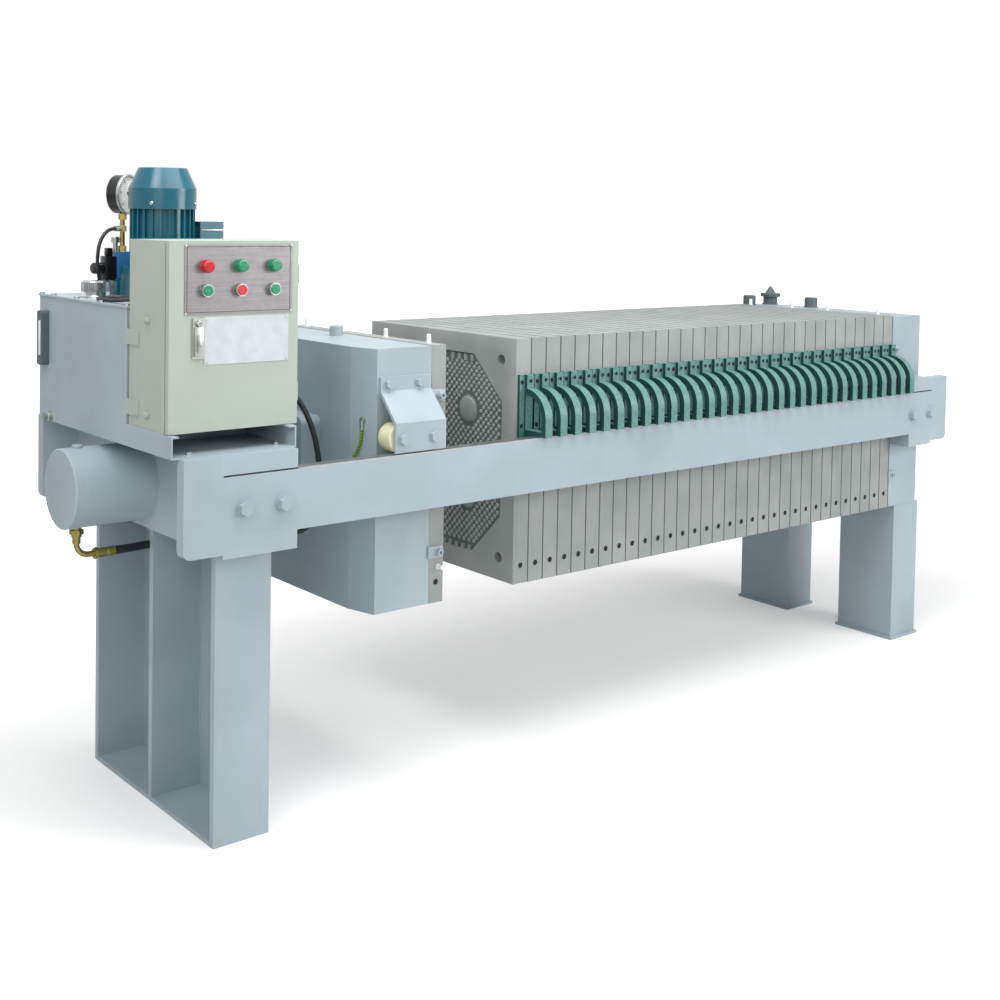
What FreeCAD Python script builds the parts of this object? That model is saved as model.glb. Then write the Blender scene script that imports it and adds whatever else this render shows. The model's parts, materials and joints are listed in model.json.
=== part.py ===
"""Plate filter press: hydraulic cylinder end, side beams, moving head, plate pack and feed head.

X runs along the press, from the cylinder end to the feed head, Y runs across it and Z is up.
The origin is on the floor, under the middle of the cylinder-end stand. Lengths are in millimetres.
"""
import FreeCAD, Part
import math
import os

V = FreeCAD.Vector

# ---------------------------------------------------------------- driving dimensions
# filter plates
PLATE_SIZE = 800.0
PLATE_COUNT = 32
PLATE_THICK = 65.0
PLATE_GAP = 0.3
PLATE_CHAMFER = 2.5
PACK_X = 993.0
AXIS_Z = 973.0

# cylinder-end stand
STAND_LENGTH = 178.0
STAND_WIDTH = 776.0
STAND_BASE_T = 14.0
STAND_WEB_T = 16.0
STAND_FLANGE_T = 22.0

# cylinder seat block and its jaws
BLOCK_X0 = -124.0
BLOCK_X1 = 110.0
BLOCK_Z0 = 838.0
BLOCK_Z1 = 1116.0
JAW_STEP = 1.0

# side beams
BEAM_OUTER_Y = 490.0
BEAM_T = 38.0
BEAM_Z0 = 890.0
BEAM_Z1 = 1059.0
RAIL_T = 4.0
HAMMER_LENGTH = 118.0
HAMMER_Z0 = 850.0
HAMMER_Z1 = 1116.0
HAMMER_CORNER_R = 22.0
FAR_HAMMER_LENGTH = 112.0

# beam bolts
BOLT_R = 12.0
BOLT_HEX = 36.0
BOLT_HEAD = 15.0
WASHER_R = 24.0
WASHER_T = 4.0
BOLT_Z = 970.0

# hydraulic cylinder
BARREL_R = 115.0
BARREL_BORE_R = 90.0
CAP_X0 = -375.0
CAP_T = 34.0
BARREL_X1 = 226.0
GLAND_R = 140.0
GLAND_T = 40.0
ROD_R = 45.0
ROD_CLEAR = 0.05
PISTON_T = 60.0
PISTON_CLEAR = 0.1

# moving head
HEAD_X0 = 416.0
HEAD_X1 = 648.0
HEAD_SIZE = 798.0
HEAD_FOLD_X = 27.0
HEAD_FOLD_Y = 100.0
TAIL_T = 55.0
SEAT_T = 70.0
SEAT_HALF_Y = 138.0
SEAT_HALF_Z = 165.0
SEAT_CORNER_R = 30.0
HEAD_TRAVEL_CLEAR = 5.0

# rollers and their brackets
ROLLER_R = 43.0
ROLLER_W = 58.0
ROLLER_PITCH = 116.0
ROLLER_X = 480.0
ROLLER_OUTER_Y = 472.0
ROLLER_SEAT_GAP = 0.3
AXLE_R = 9.0
AXLE_CLEAR = 0.05
BRACKET_X0 = 452.0
BRACKET_X1 = 640.0
BRACKET_T = 8.0
BRACKET_TOP_Z = 1283.0
BRACKET_FOLD1_Z = 1237.0
BRACKET_FOLD2_Z = 1151.0
BRACKET_FOOT_Z = 1066.0
BRACKET_OUTER_Y = 484.0

# feed head and its legs
FEED_T = 200.0
FEED_JAW_LENGTH = 158.0
LEG_X0 = 3137.0
LEG_LENGTH = 172.0
LEG_WIDTH = 260.0
LEG_OUTER_Y = 396.0
LEG_WALL = 10.0
FOOT_T = 12.0
FOOT_LIP = 8.0

# drip tray, tank and cabinet
TRAY_X0 = -266.0
TRAY_X1 = 119.0
TRAY_FRONT_Y = -465.0
TRAY_HEIGHT = 60.0
TRAY_T = 4.0
TRAY_LIP = 22.0
TANK_FRONT_Y = -196.0
TANK_BACK_Y = 421.0
TANK_TOP_Z = 1498.0
LID_T = 6.0
LID_LIP = 4.0
CAB_X0 = -262.0
CAB_X1 = 138.0
CAB_FRONT_Y = -437.0
CAB_DEPTH = 232.0
CAB_TOP_Z = 1690.0
CAB_WALL = 3.0
DOOR_T = 22.0
DOOR_GAP = 5.0
DOOR_LIFT = 2.0
STRAP_Z = (1206.0, 1400.0)
STRAP_HEIGHT = 42.0
STRAP_T = 4.0
STRAP_LAP = 62.0
HINGE_X = 145.0
HINGE_Y = -421.0
HINGE_R = 5.0
HINGE_T = 2.5
HINGE_LEAF = 22.0
HINGE_HEIGHT = 26.0
HINGE_CLEAR = 0.5
HINGE_Z = (1240.0, 1570.0)
PIN_R = 3.0
PIN_CLEAR = 0.05

# control panel on the door
PANEL_X0 = -217.0
PANEL_X1 = 116.0
PANEL_Z0 = 1493.0
PANEL_Z1 = 1681.0
PANEL_T = 2.0
BLANK_X0 = -157.0
BLANK_X1 = 106.0
BLANK_Z0 = 1358.0
BLANK_Z1 = 1486.0
BLANK_T = 1.5
LATCH_X0 = -194.0
LATCH_X1 = -158.0
LATCH_Z0 = 1376.0
LATCH_Z1 = 1484.0
LATCH_T = 5.0
CONTROL_X = (-154.0, -50.0, 55.0)
LAMP_Z = 1623.0
LAMP_R = 18.0
LAMP_OUT = 24.0
BUTTON_Z = 1558.0
BUTTON_R = 14.0
BUTTON_CLEAR = 0.1
BUTTON_LENGTH = 10.0
BUTTON_STAND = 4.0
BEZEL_R = 17.5
BEZEL_OUT = 14.0

# motor and pump set
MOTOR_X = -10.0
MOTOR_Y = 100.0
MOTOR_R = 88.0
FIN_TIP_R = 98.0
FIN_COUNT = 24
MOTOR_TOP_Z = 1897.0
COWL_R = 102.0
COWL_HEIGHT = 124.0
ADAPTOR_HEIGHT = 95.0

# plate handles
HANDLE_OUT = 112.0
HANDLE_T = 30.0
HANDLE_SHIFT = 12.0
HANDLE_RIM = 20.0
HANDLE_TOP_Z = 1212.0
EAR_TOP_Z = 1256.0
PAD_T = 10.0
HANDLE_ROOT = 8.0
HANDLE_WEB = 6.0
HANDLE_FOOT = 16.0
PAD_INSET = 8.0
PAD_DROP = 8.0
EAR_T = 12.0


# ---------------------------------------------------------------- derived values
HALF = PLATE_SIZE / 2.0
PITCH = PLATE_THICK + PLATE_GAP
PACK_END_X = PACK_X + PLATE_COUNT * PITCH
FEED_X0 = PACK_END_X
FEED_JAW_X1 = FEED_X0 + FEED_JAW_LENGTH
BEAM_INNER_Y = BEAM_OUTER_Y - BEAM_T
RAIL_TOP_Z = BEAM_Z1 + RAIL_T
TAIL_X1 = HEAD_X1 + TAIL_T
HEAD_TRAVEL = PACK_X - TAIL_X1 - HEAD_TRAVEL_CLEAR
TANK_Z0 = BLOCK_Z1
CAB_Z0 = TANK_Z0 + TRAY_HEIGHT
LID_Z0 = TANK_TOP_Z
LID_Z1 = LID_Z0 + LID_T
ROLLER_Z = RAIL_TOP_Z + ROLLER_R + ROLLER_SEAT_GAP
ROLLER_INNER_Y = ROLLER_OUTER_Y - ROLLER_W
JAW_UPPER_Z = BEAM_Z1 + RAIL_T + JAW_STEP
SEAT_X0 = HEAD_X0 - SEAT_T
HANDLE_OUTER_Y = HALF + HANDLE_OUT
HANDLE_CURVE_R = HANDLE_OUT - PAD_T - HANDLE_ROOT
WINDOW_R = HANDLE_CURVE_R - HANDLE_RIM
WINDOW_Y0 = HALF + PAD_T + HANDLE_WEB
WINDOW_Y1 = HANDLE_OUTER_Y - HANDLE_RIM
WINDOW_Z0 = RAIL_TOP_Z + HANDLE_FOOT
WINDOW_Z1 = HANDLE_TOP_Z - HANDLE_RIM
HANDLE_WINDOW = ((WINDOW_Y0 + 2.0, WINDOW_Z0 + 2.0), (WINDOW_Y1 - 22.0, WINDOW_Z1 - 24.0))


# ---------------------------------------------------------------- helpers
def save(name, shape):
    """Write one node."""
    shape.exportStep("parts/" + name + ".step")


def box(x0, x1, y0, y1, z0, z1):
    """Box between two corners."""
    return Part.makeBox(x1 - x0, y1 - y0, z1 - z0, V(x0, y0, z0))


def rod(radius, start, end):
    """Round bar between two points."""
    axis = end - start
    return Part.makeCylinder(radius, axis.Length, start, axis)


def hexagon(across_flats, base, height_vector, turn=0.0):
    """Hexagonal prism on a plane through base."""
    normal = V(height_vector).normalize()
    side = V(0, 0, 1) if abs(normal.z) < 0.9 else V(1, 0, 0)
    other = normal.cross(side)
    radius = across_flats / math.sqrt(3.0)
    points = []
    for k in range(7):
        angle = math.radians(60 * k + turn)
        points.append(base + side * (radius * math.cos(angle)) + other * (radius * math.sin(angle)))
    return Part.Face(Part.makePolygon(points)).extrude(height_vector)


def prism(points, vector):
    """Extrude a closed polygon."""
    return Part.Face(Part.makePolygon(points + [points[0]])).extrude(vector)


def mirror_y(shape):
    """The same piece on the other side of the press."""
    return shape.mirror(V(0, 0, 0), V(0, 1, 0))


def both_sides(shape):
    """A piece and its mirror image."""
    return [shape, mirror_y(shape)]


def hose_path(points):
    """Straight runs joined by tangent arcs, each as large as its two runs allow."""
    edges = []
    last = points[0]
    radii = []
    for before, corner, after in zip(points, points[1:], points[2:]):
        first = (before - corner)
        second = (after - corner)
        turn = math.pi - first.getAngle(second)
        reach = 0.45 * min(first.Length, second.Length)
        radii.append(round(reach / math.tan(turn / 2.0), 1))
        first.normalize()
        second.normalize()
        arc_start = corner + first * reach
        arc_end = corner + second * reach
        half = (first + second).normalize()
        radius = reach / math.tan(turn / 2.0)
        centre = corner + half * (radius / math.cos(turn / 2.0))
        middle = centre - half * radius
        edges.append(Part.LineSegment(last, arc_start).toShape())
        edges.append(Part.Arc(arc_start, middle, arc_end).toShape())
        last = arc_end
    edges.append(Part.LineSegment(last, points[-1]).toShape())
    return Part.Wire(edges), radii


def hose(name, points, radius):
    """Tube along a path, with its bend radii printed."""
    path, radii = hose_path(points)
    start = points[0]
    direction = points[1] - points[0]
    ring = Part.Wire([Part.Circle(start, direction, radius).toShape()])
    tube = path.makePipeShell([ring], True, False)
    print(name, "bend radii", radii, "length", round(path.Length), "volume ratio",
          round(tube.Volume / (path.Length * math.pi * radius ** 2), 4))
    return tube


# ---------------------------------------------------------------- cylinder-end stand
def stand():
    """Base plate, three flanges and a web, welded into an E in plan."""
    x0 = -STAND_LENGTH / 2.0
    x1 = STAND_LENGTH / 2.0
    half = STAND_WIDTH / 2.0
    save("stand_base", box(x0, x1, -half, half, 0, STAND_BASE_T))
    flanges = []
    for y in (-half, -STAND_FLANGE_T / 2.0, half - STAND_FLANGE_T):
        flanges.append(box(x0, x1 - STAND_WEB_T, y, y + STAND_FLANGE_T, STAND_BASE_T, BLOCK_Z0))
    save("stand_flanges", Part.makeCompound(flanges))
    web = box(x1 - STAND_WEB_T, x1, -half, half, STAND_BASE_T, BLOCK_Z0)
    web = web.cut(rod(HOSE_HOLE_R, V(x1 - 2 * STAND_WEB_T, HOSE_HOLE_Y, HOSE_HOLE_Z),
                      V(x1 + STAND_WEB_T, HOSE_HOLE_Y, HOSE_HOLE_Z)))
    save("stand_web", web)


# ---------------------------------------------------------------- cylinder seat and cylinder
def jaws(x0, x1, z0, z1):
    """Upper and lower lips that grip the beams above and below, on both sides."""
    upper = box(x0, x1, BEAM_INNER_Y, BEAM_OUTER_Y, JAW_UPPER_Z, z1)
    lower = box(x0, x1, BEAM_INNER_Y, BEAM_OUTER_Y, z0, BEAM_Z0)
    return both_sides(upper) + both_sides(lower)


def seat_block():
    """Block that holds the cylinder and grips both beams."""
    block = box(BLOCK_X0, BLOCK_X1, -BEAM_INNER_Y, BEAM_INNER_Y, BLOCK_Z0, BLOCK_Z1)
    block = block.multiFuse(jaws(BLOCK_X0, BLOCK_X1, BLOCK_Z0, BLOCK_Z1)).removeSplitter()
    bore = rod(BARREL_R, V(BLOCK_X0 - 10, 0, AXIS_Z), V(BLOCK_X1 + 10, 0, AXIS_Z))
    save("seat_block", block.cut(bore))


def cylinder():
    """Barrel, end cap, gland and the piston with its rod."""
    cap_x1 = CAP_X0 + CAP_T
    axis = V(0, 0, AXIS_Z)
    barrel = rod(BARREL_R, V(cap_x1, 0, 0) + axis, V(BARREL_X1, 0, 0) + axis)
    barrel = barrel.cut(rod(BARREL_BORE_R, V(cap_x1 - 1, 0, 0) + axis, V(BARREL_X1 + 1, 0, 0) + axis))
    save("cylinder_barrel", barrel)
    cap = rod(BARREL_R, V(CAP_X0, 0, 0) + axis, V(cap_x1, 0, 0) + axis)
    cap = cap.makeChamfer(3.0, [e for e in cap.Edges if e.BoundBox.XMax < CAP_X0 + 0.1])
    save("cylinder_cap", cap)
    gland_x1 = BARREL_X1 + GLAND_T
    gland = rod(GLAND_R, V(BARREL_X1, 0, 0) + axis, V(gland_x1, 0, 0) + axis)
    gland = gland.cut(rod(ROD_R + ROD_CLEAR, V(BARREL_X1 - 1, 0, 0) + axis, V(gland_x1 + 1, 0, 0) + axis))
    save("cylinder_gland", gland)
    piston_x0 = cap_x1 + HEAD_TRAVEL_CLEAR
    piston = rod(BARREL_BORE_R - PISTON_CLEAR, V(piston_x0, 0, 0) + axis,
                 V(piston_x0 + PISTON_T, 0, 0) + axis)
    shaft = rod(ROD_R, V(piston_x0, 0, 0) + axis, V(SEAT_X0, 0, 0) + axis)
    save("piston_rod", piston.fuse(shaft).removeSplitter())


# ---------------------------------------------------------------- beams
def beam_outline():
    """Side view of one beam: a bar with a deeper hammer head at each end."""
    x_near = BLOCK_X0 - HAMMER_LENGTH
    x_far = FEED_JAW_X1 + FAR_HAMMER_LENGTH
    bar = box(x_near + 1, x_far - 1, BEAM_INNER_Y, BEAM_OUTER_Y, BEAM_Z0, BEAM_Z1)
    hammers = []
    for x0, x1 in ((x_near, BLOCK_X0), (FEED_JAW_X1, x_far)):
        hammer = box(x0, x1, BEAM_INNER_Y, BEAM_OUTER_Y, HAMMER_Z0, HAMMER_Z1)
        outer_x = x0 if x0 < 0 else x1
        corners = [e for e in hammer.Edges
                   if abs(e.BoundBox.XMin - outer_x) < 0.1 and e.BoundBox.XLength < 0.1
                   and e.BoundBox.ZLength < 0.1 and e.BoundBox.ZMax < AXIS_Z]
        hammers.append(hammer.makeFillet(HAMMER_CORNER_R, corners))
    return bar.multiFuse(hammers).removeSplitter()


def bolt_places():
    """X of each beam bolt."""
    near = [-60.0, 65.0]
    far = [FEED_X0 + 20.0, FEED_X0 + 145.0]
    return near + far


def beams():
    """Two side beams, their sliding strips and their bolts."""
    beam = beam_outline()
    save("beam_rear", beam)
    save("beam_front", mirror_y(beam))
    strip = box(BLOCK_X1 + 1.0, FEED_X0 - 1.0, BEAM_INNER_Y, BEAM_OUTER_Y, BEAM_Z1, RAIL_TOP_Z)
    save("rail_strips", Part.makeCompound(both_sides(strip)))
    bolts = []
    for x in bolt_places():
        washer = rod(WASHER_R, V(x, BEAM_OUTER_Y, BOLT_Z), V(x, BEAM_OUTER_Y + WASHER_T, BOLT_Z))
        head = hexagon(BOLT_HEX, V(x, BEAM_OUTER_Y + WASHER_T, BOLT_Z), V(0, BOLT_HEAD, 0))
        bolts += both_sides(washer.fuse(head))
    save("beam_bolts", Part.makeCompound(bolts))


# ---------------------------------------------------------------- moving head
def moving_head():
    """Box-shaped head with folded back plate, rod seat, tail plate and brackets."""
    half = HEAD_SIZE / 2.0
    inner = half - HEAD_FOLD_Y
    plan = [V(HEAD_X1, -half, 0), V(HEAD_X1, half, 0), V(HEAD_X0 + HEAD_FOLD_X, half, 0),
            V(HEAD_X0, inner, 0), V(HEAD_X0, -inner, 0), V(HEAD_X0 + HEAD_FOLD_X, -half, 0)]
    z0 = AXIS_Z - half - 5.0
    body = prism([V(p.x, p.y, z0) for p in plan], V(0, 0, HEAD_SIZE))
    save("head_body", body)
    tail = box(HEAD_X1, TAIL_X1, -HALF, HALF, z0, z0 + PLATE_SIZE)
    save("tail_plate", tail)
    seat = box(SEAT_X0, HEAD_X0, -SEAT_HALF_Y, SEAT_HALF_Y, AXIS_Z - SEAT_HALF_Z, AXIS_Z + SEAT_HALF_Z)
    uprights = [e for e in seat.Edges if e.BoundBox.XLength > SEAT_T - 1]
    save("rod_seat", seat.makeFillet(SEAT_CORNER_R, uprights))


def bracket():
    """Bent roller bracket on the rear side of the moving head, with its two axles."""
    side_y = HEAD_SIZE / 2.0
    outer = BRACKET_OUTER_Y
    t = BRACKET_T
    slope = (BRACKET_FOLD1_Z - BRACKET_FOLD2_Z) / (outer - t - side_y)
    lift = t / slope * 0.5
    profile = [V(BRACKET_X0, side_y, BRACKET_TOP_Z), V(BRACKET_X0, side_y + t, BRACKET_TOP_Z),
               V(BRACKET_X0, side_y + t, BRACKET_FOLD1_Z + lift), V(BRACKET_X0, outer, BRACKET_FOLD2_Z + lift),
               V(BRACKET_X0, outer, BRACKET_FOOT_Z), V(BRACKET_X0, outer - t, BRACKET_FOOT_Z),
               V(BRACKET_X0, outer - t, BRACKET_FOLD2_Z - lift), V(BRACKET_X0, side_y, BRACKET_FOLD1_Z - lift)]
    plate = prism(profile, V(BRACKET_X1 - BRACKET_X0, 0, 0))
    pieces = []
    for x in roller_places():
        axle = rod(AXLE_R, V(x, side_y, ROLLER_Z), V(x, outer - t, ROLLER_Z))
        nut = hexagon(30.0, V(x, outer, ROLLER_Z), V(0, 12.0, 0))
        pieces += [axle, nut]
        pieces.append(hexagon(24.0, V(x, side_y + t, 1261.0), V(0, 12.0, 0)))
    return plate.multiFuse(pieces).removeSplitter()


def roller_places():
    """X of the two rollers on each side."""
    return [ROLLER_X, ROLLER_X + ROLLER_PITCH]


def rollers():
    """Four nylon rollers that carry the moving head on the strips."""
    rear = bracket()
    save("roller_brackets", Part.makeCompound([rear, mirror_y(rear)]))
    for x, label in zip(roller_places(), ("near", "far")):
        wheel = rod(ROLLER_R, V(x, ROLLER_INNER_Y, ROLLER_Z), V(x, ROLLER_OUTER_Y, ROLLER_Z))
        hole = rod(AXLE_R + AXLE_CLEAR, V(x, ROLLER_INNER_Y - 1, ROLLER_Z), V(x, ROLLER_OUTER_Y + 1, ROLLER_Z))
        rims = [e for e in wheel.Edges if abs(e.BoundBox.XLength - 2 * ROLLER_R) < 0.1]
        wheel = wheel.makeChamfer(2.0, rims).cut(hole)
        save("roller_rear_" + label, wheel)
        save("roller_front_" + label, mirror_y(wheel))


# ---------------------------------------------------------------- plates and handles
FIELD_HALF = 320.0
FIELD_CUT = 120.0
FIELD_DEPTH = 8.0
BOSS_R = 52.0
CORNER_HOLE_R = 14.0
CORNER_HOLE_AT = 328.0
DRAIN_R = 7.0
DRAIN_Z = 633.0


def plate_blank(x0):
    """One plate with its edges broken."""
    body = box(x0, x0 + PLATE_THICK, -HALF, HALF, AXIS_Z - HALF, AXIS_Z + HALF)
    edges = [e for e in body.Edges if e.BoundBox.XLength < 0.1]
    return body.makeChamfer(PLATE_CHAMFER, edges)


def octagon(x, half, cut, depth):
    """Square field with its corners cut off."""
    pts = []
    for sy, sz in ((-1, -1), (1, -1), (1, 1), (-1, 1)):
        first = V(x, sy * half, AXIS_Z + sz * (half - cut))
        second = V(x, sy * (half - cut), AXIS_Z + sz * half)
        pts += [first, second] if sy * sz > 0 else [second, first]
    return prism(pts, V(depth, 0, 0))


def first_plate():
    """Plate at the open end of the pack, with its recessed field, boss and corner holes."""
    plate = plate_blank(PACK_X)
    field = octagon(PACK_X - 1, FIELD_HALF, FIELD_CUT, FIELD_DEPTH + 1)
    centre = V(PACK_X, 0, AXIS_Z)
    boss = rod(BOSS_R, centre - V(2, 0, 0), centre + V(FIELD_DEPTH + 2, 0, 0))
    plate = plate.cut(field.cut(boss))
    holes = []
    for sy in (-1, 1):
        for sz in (-1, 1):
            at = V(PACK_X - 5, sy * CORNER_HOLE_AT, AXIS_Z + sz * CORNER_HOLE_AT)
            holes.append(rod(CORNER_HOLE_R, at, at + V(PLATE_THICK * 0.6, 0, 0)))
    holes += drains(PACK_X)
    save("first_plate", plate.cut(holes))


def drains(x0):
    """Filtrate drain mouths low on both sides of one plate."""
    x = x0 + PLATE_THICK / 2.0
    return [rod(DRAIN_R, V(x, s * (HALF + 1), DRAIN_Z), V(x, s * (HALF - 25), DRAIN_Z)) for s in (-1, 1)]


def plate_pack():
    """The other plates of the pack."""
    plates = []
    for k in range(1, PLATE_COUNT):
        x0 = PACK_X + k * PITCH
        plates.append(plate_blank(x0).cut(drains(x0)))
    save("plate_pack", Part.makeCompound(plates))


def handle(x_plate):
    """Cast handle on the rear side of one plate: pad, D-shaped loop, ear and foot."""
    xc = x_plate + PLATE_THICK / 2.0 + HANDLE_SHIFT
    x0 = xc - HANDLE_T / 2.0
    z1 = HANDLE_TOP_Z
    root_y = HALF + PAD_T - 1.0
    pad = box(x_plate + PAD_INSET, x_plate + PLATE_THICK - PAD_INSET, HALF, HALF + PAD_T,
              RAIL_TOP_Z - PAD_DROP, EAR_TOP_Z)
    loop = loop_outline(x0, root_y, HANDLE_OUTER_Y, RAIL_TOP_Z, z1, HANDLE_CURVE_R)
    window = loop_outline(x0 - 1, WINDOW_Y0, WINDOW_Y1, WINDOW_Z0, WINDOW_Z1, WINDOW_R)
    ring = loop.extrude(V(HANDLE_T, 0, 0)).cut(window.extrude(V(HANDLE_T + 2, 0, 0)))
    ear = box(x0, x0 + HANDLE_T, root_y, HALF + PAD_T + EAR_T, z1 - 10.0, EAR_TOP_Z)
    return ring.multiFuse([pad, ear]).removeSplitter()


def loop_outline(x, y0, y1, z0, z1, radius):
    """Upright rectangle with its outer top corner fully rounded."""
    centre = V(x, y1 - radius, z1 - radius)
    mid = centre + V(0, radius * math.sqrt(0.5), radius * math.sqrt(0.5))
    a = V(x, y0, z0)
    b = V(x, y1, z0)
    c = V(x, y1, z1 - radius)
    d = V(x, y1 - radius, z1)
    e = V(x, y0, z1)
    edges = [Part.LineSegment(a, b).toShape(), Part.LineSegment(b, c).toShape(),
             Part.Arc(c, mid, d).toShape(), Part.LineSegment(d, e).toShape(),
             Part.LineSegment(e, a).toShape()]
    return Part.Face(Part.Wire(edges))


FIRST_GROUP = 4


def handles():
    """Handles of every plate on both sides, the first few apart from the rest."""
    rear = [handle(PACK_X + k * PITCH) for k in range(PLATE_COUNT)]
    front = [mirror_y(piece) for piece in rear]
    for label, pieces in (("rear", rear), ("front", front)):
        save("handles_" + label + "_first", Part.makeCompound(pieces[:FIRST_GROUP]))
        save("handles_" + label + "_rest", Part.makeCompound(pieces[FIRST_GROUP:]))


# ---------------------------------------------------------------- feed head
def feed_head():
    """Fixed head that closes the pack, with its jaws for the beams."""
    z0 = AXIS_Z - HALF
    body = box(FEED_X0, FEED_X0 + FEED_T, -HALF, HALF, z0, z0 + PLATE_SIZE - 4.0)
    neck = box(FEED_X0, FEED_JAW_X1, -BEAM_INNER_Y, BEAM_INNER_Y, BLOCK_Z0, BLOCK_Z1)
    body = body.multiFuse([neck] + jaws(FEED_X0, FEED_JAW_X1, BLOCK_Z0, BLOCK_Z1)).removeSplitter()
    save("feed_head", body)
    legs = []
    feet = []
    x1 = LEG_X0 + LEG_LENGTH
    inner_y = LEG_OUTER_Y - LEG_WIDTH
    leg = box(LEG_X0, x1, inner_y, LEG_OUTER_Y, FOOT_T, z0)
    leg = leg.cut(box(LEG_X0 + LEG_WALL, x1 - LEG_WALL, inner_y + LEG_WALL, LEG_OUTER_Y - LEG_WALL,
                      FOOT_T - 1, z0 + 1))
    legs += both_sides(leg)
    feet += both_sides(box(LEG_X0 - FOOT_LIP, x1 + FOOT_LIP, inner_y - FOOT_LIP, LEG_OUTER_Y + FOOT_LIP,
                           0, FOOT_T))
    save("leg_front", legs[1])
    save("leg_rear", legs[0])
    save("leg_feet", Part.makeCompound(feet))


# ---------------------------------------------------------------- power pack
def tray():
    """Folded tray under the cabinet, open to the front, with lips turned inwards."""
    z0 = TANK_Z0
    z1 = z0 + TRAY_HEIGHT
    floor = box(TRAY_X0, TRAY_X1, TRAY_FRONT_Y, TANK_FRONT_Y, z0, z0 + TRAY_T)
    pieces = []
    for wall_x, lip_x in ((TRAY_X0, TRAY_X0), (TRAY_X1 - TRAY_T, TRAY_X1 - TRAY_LIP)):
        pieces.append(box(wall_x, wall_x + TRAY_T, TRAY_FRONT_Y, TANK_FRONT_Y, z0, z1))
        pieces.append(box(lip_x, lip_x + TRAY_LIP, TRAY_FRONT_Y, TANK_FRONT_Y, z1 - TRAY_T, z1))
    save("tray", floor.multiFuse(pieces).removeSplitter())


def tank():
    """Oil tank with lid, level gauge and breather cap."""
    body = box(TRAY_X0, TRAY_X1, TANK_FRONT_Y, TANK_BACK_Y, TANK_Z0, TANK_TOP_Z)
    save("oil_tank", body)
    lid = box(TRAY_X0 - LID_LIP, TRAY_X1 + LID_LIP, TANK_FRONT_Y - LID_LIP, TANK_BACK_Y + LID_LIP, LID_Z0, LID_Z1)
    save("tank_lid", lid)
    gauge = box(TRAY_X0 - 24.0, TRAY_X0, 345.0, 385.0, 1288.0, 1455.0)
    gauge = gauge.makeFillet(8.0, [e for e in gauge.Edges if e.BoundBox.XLength > 20])
    save("level_gauge", gauge)
    cap_at = V(TRAY_X0 + 75.0, 175.0, LID_Z1)
    cap = rod(45.0, cap_at, cap_at + V(0, 0, 8.0))
    cap = cap.fuse(rod(38.0, cap_at, cap_at + V(0, 0, 52.0)))
    save("breather_cap", cap)


def motor():
    """Vertical motor with fins, fan cowl, terminal box and the block under it."""
    z0 = LID_Z1
    z1 = z0 + ADAPTOR_HEIGHT
    z2 = MOTOR_TOP_Z - COWL_HEIGHT
    at = V(MOTOR_X, MOTOR_Y, 0)
    block = box(MOTOR_X - 95, MOTOR_X + 95, MOTOR_Y - 95, MOTOR_Y + 95, z0, z1)
    save("pump_block", block.makeFillet(10.0, [e for e in block.Edges if e.BoundBox.ZLength > 50]))
    body = rod(MOTOR_R, at + V(0, 0, z1), at + V(0, 0, z2))
    fins = []
    for k in range(FIN_COUNT):
        fin = box(MOTOR_R - 4.0, FIN_TIP_R, -2.0, 2.0, z1 + 18.0, z2)
        fin.rotate(V(0, 0, 0), V(0, 0, 1), 360.0 * k / FIN_COUNT)
        fin.translate(at)
        fins.append(fin)
    flange = rod(100.0, at + V(0, 0, z1), at + V(0, 0, z1 + 18.0))
    save("motor_body", body.multiFuse(fins + [flange]))
    shoulder = COWL_HEIGHT * 0.5
    profile = Part.makePolygon([V(0, 0, z2), V(COWL_R, 0, z2), V(COWL_R, 0, z2 + shoulder),
                                V(COWL_R * 0.72, 0, MOTOR_TOP_Z), V(0, 0, MOTOR_TOP_Z), V(0, 0, z2)])
    cowl = Part.Face(profile).revolve(V(0, 0, 0), V(0, 0, 1), 360)
    cowl.translate(at)
    save("motor_cowl", cowl)
    term = box(MOTOR_X + MOTOR_R + 12.0, MOTOR_X + MOTOR_R + 92.0, MOTOR_Y - 55, MOTOR_Y + 55, 1640.0, 1736.0)
    neck = box(MOTOR_X + MOTOR_R - 10.0, MOTOR_X + MOTOR_R + 12.0, MOTOR_Y - 35, MOTOR_Y + 35, 1655.0, 1722.0)
    save("terminal_box", term.fuse(neck).cut(Part.makeCompound([body] + fins)))


# ---------------------------------------------------------------- cabinet
def cabinet():
    """Steel cabinet, open to the front, with straps to the tank and hinge pins."""
    back_y = CAB_FRONT_Y + CAB_DEPTH
    front_y = CAB_FRONT_Y + DOOR_T
    w = CAB_WALL
    shell = box(CAB_X0, CAB_X1, front_y, back_y, CAB_Z0, CAB_TOP_Z)
    shell = shell.cut(box(CAB_X0 + w, CAB_X1 - w, front_y - 1, back_y - w, CAB_Z0 + w, CAB_TOP_Z - w))
    pieces = []
    for z in STRAP_Z:
        pieces.append(box(CAB_X0 - STRAP_T, CAB_X0, back_y - STRAP_LAP, TANK_FRONT_Y, z, z + STRAP_HEIGHT))
    for z in HINGE_Z:
        pieces.append(box(CAB_X1, HINGE_X, front_y, front_y + HINGE_LEAF, z, z + HINGE_HEIGHT))
        pieces.append(box(HINGE_X - HINGE_T, HINGE_X + HINGE_T, HINGE_Y, front_y + HINGE_LEAF,
                          z, z + HINGE_HEIGHT))
        pieces.append(rod(HINGE_R, V(HINGE_X, HINGE_Y, z), V(HINGE_X, HINGE_Y, z + HINGE_HEIGHT)))
        pieces.append(rod(PIN_R, V(HINGE_X, HINGE_Y, z), V(HINGE_X, HINGE_Y, z + 2 * HINGE_HEIGHT)))
    save("cabinet_body", shell.multiFuse(pieces).removeSplitter())


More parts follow.
